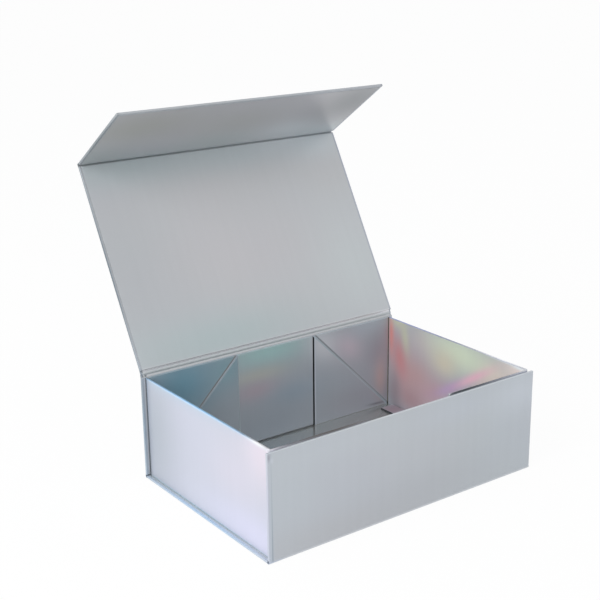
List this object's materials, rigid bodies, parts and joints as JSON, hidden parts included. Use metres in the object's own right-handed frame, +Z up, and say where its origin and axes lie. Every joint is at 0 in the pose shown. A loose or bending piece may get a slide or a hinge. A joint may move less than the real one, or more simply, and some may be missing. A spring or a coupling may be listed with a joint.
{
  "type": "collapsible gift box",
  "caption": "Rigid paper-wrapped gift box that folds flat, with a hinged lid, a magnetic front flap and a folding tray with gusseted back corners.",
  "frame": {"origin": "centre of the box's underside, on the surface that it stands on", "axes": "+X to the right along the front wall, +Y from the front wall to the spine, +Z up"},
  "size_m": [0.31, 0.3171, 0.3524],
  "materials": {
    "wrap_paper": "silver laminated paper with a soft iridescent sheen",
    "lining_paper": "silver laminated lining paper with a soft iridescent sheen",
    "greyboard": "bare grey bookbinding board",
    "tape": "double-sided tape with adhesive on both faces",
    "magnet": "nickel-plated magnet"
  },
  "bodies": {
    "tray": {"base_board": "greyboard", "front_board": "greyboard", "spine_board": "greyboard", "left_wall_board": "greyboard", "right_wall_board": "greyboard", "left_foot_board": "greyboard", "right_foot_board": "greyboard", "back_board": "greyboard", "left_outer_gusset_board": "greyboard", "left_inner_gusset_board": "greyboard", "right_outer_gusset_board": "greyboard", "right_inner_gusset_board": "greyboard", "left_tab_board": "greyboard", "right_tab_board": "greyboard", "base_wrap": "wrap_paper", "front_wrap": "wrap_paper", "spine_wrap": "wrap_paper", "tray_wrap": "wrap_paper", "base_lining": "lining_paper", "front_lining": "lining_paper", "spine_lining": "lining_paper", "tray_lining": "lining_paper", "left_tab_tape": "tape", "right_tab_tape": "tape", "left_front_magnet": "magnet", "right_front_magnet": "magnet"},
    "lid": {"lid_board": "greyboard", "lid_wrap": "wrap_paper", "lid_lining": "lining_paper"},
    "flap": {"flap_board": "greyboard", "flap_wrap": "wrap_paper", "flap_lining": "lining_paper", "left_flap_magnet": "magnet", "right_flap_magnet": "magnet"}
  },
  "joints": [
    {"name": "lid_hinge", "type": "hinge", "parent": "tray", "child": "lid", "pos_m": [0, 0.1053, 0.1068], "axis": [1, 0, 0], "range_deg": [-60, 119.7]},
    {"name": "flap_hinge", "type": "hinge", "parent": "lid", "child": "flap", "pos_m": [0, 0.21113, 0.29234], "axis": [1, 0, 0], "range_deg": [-85.4, 4.6]}
  ]
}
